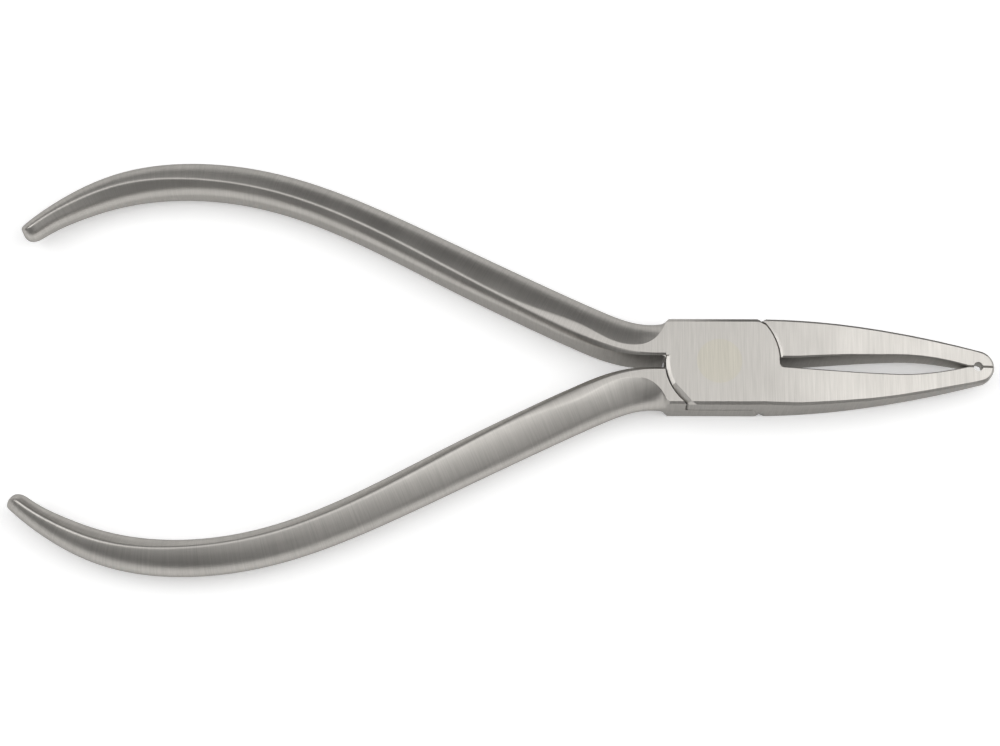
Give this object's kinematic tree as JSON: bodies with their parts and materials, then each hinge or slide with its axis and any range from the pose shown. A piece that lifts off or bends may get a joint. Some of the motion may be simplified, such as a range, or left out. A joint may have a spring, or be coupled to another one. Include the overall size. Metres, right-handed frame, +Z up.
{
  "type": "orthodontic pliers",
  "caption": "Slim hand pliers with a flat lapped head, long bowed handles and tapering beaks whose notched tips close around a small round hole.",
  "frame": {"origin": "where the pivot axis meets the rear face of the head, on which the pliers lie", "axes": "+X from the pivot to the beak tips, +Y towards the front half's handle, +Z up along the pivot axis"},
  "size_m": [0.135, 0.0588, 0.0075],
  "materials": {
    "forged_steel": "satin brushed stainless steel",
    "rivet_steel": "satin steel, slightly warmer, ground flush"
  },
  "bodies": {
    "front": {"front_half": "forged_steel", "pivot_rivet": "rivet_steel"},
    "rear": {"rear_half": "forged_steel"}
  },
  "joints": [
    {"name": "pivot", "type": "hinge", "parent": "front", "child": "rear", "pos_m": [0, 0, 0], "axis": [0, 0, 1], "range_deg": [0, 30]}
  ]
}
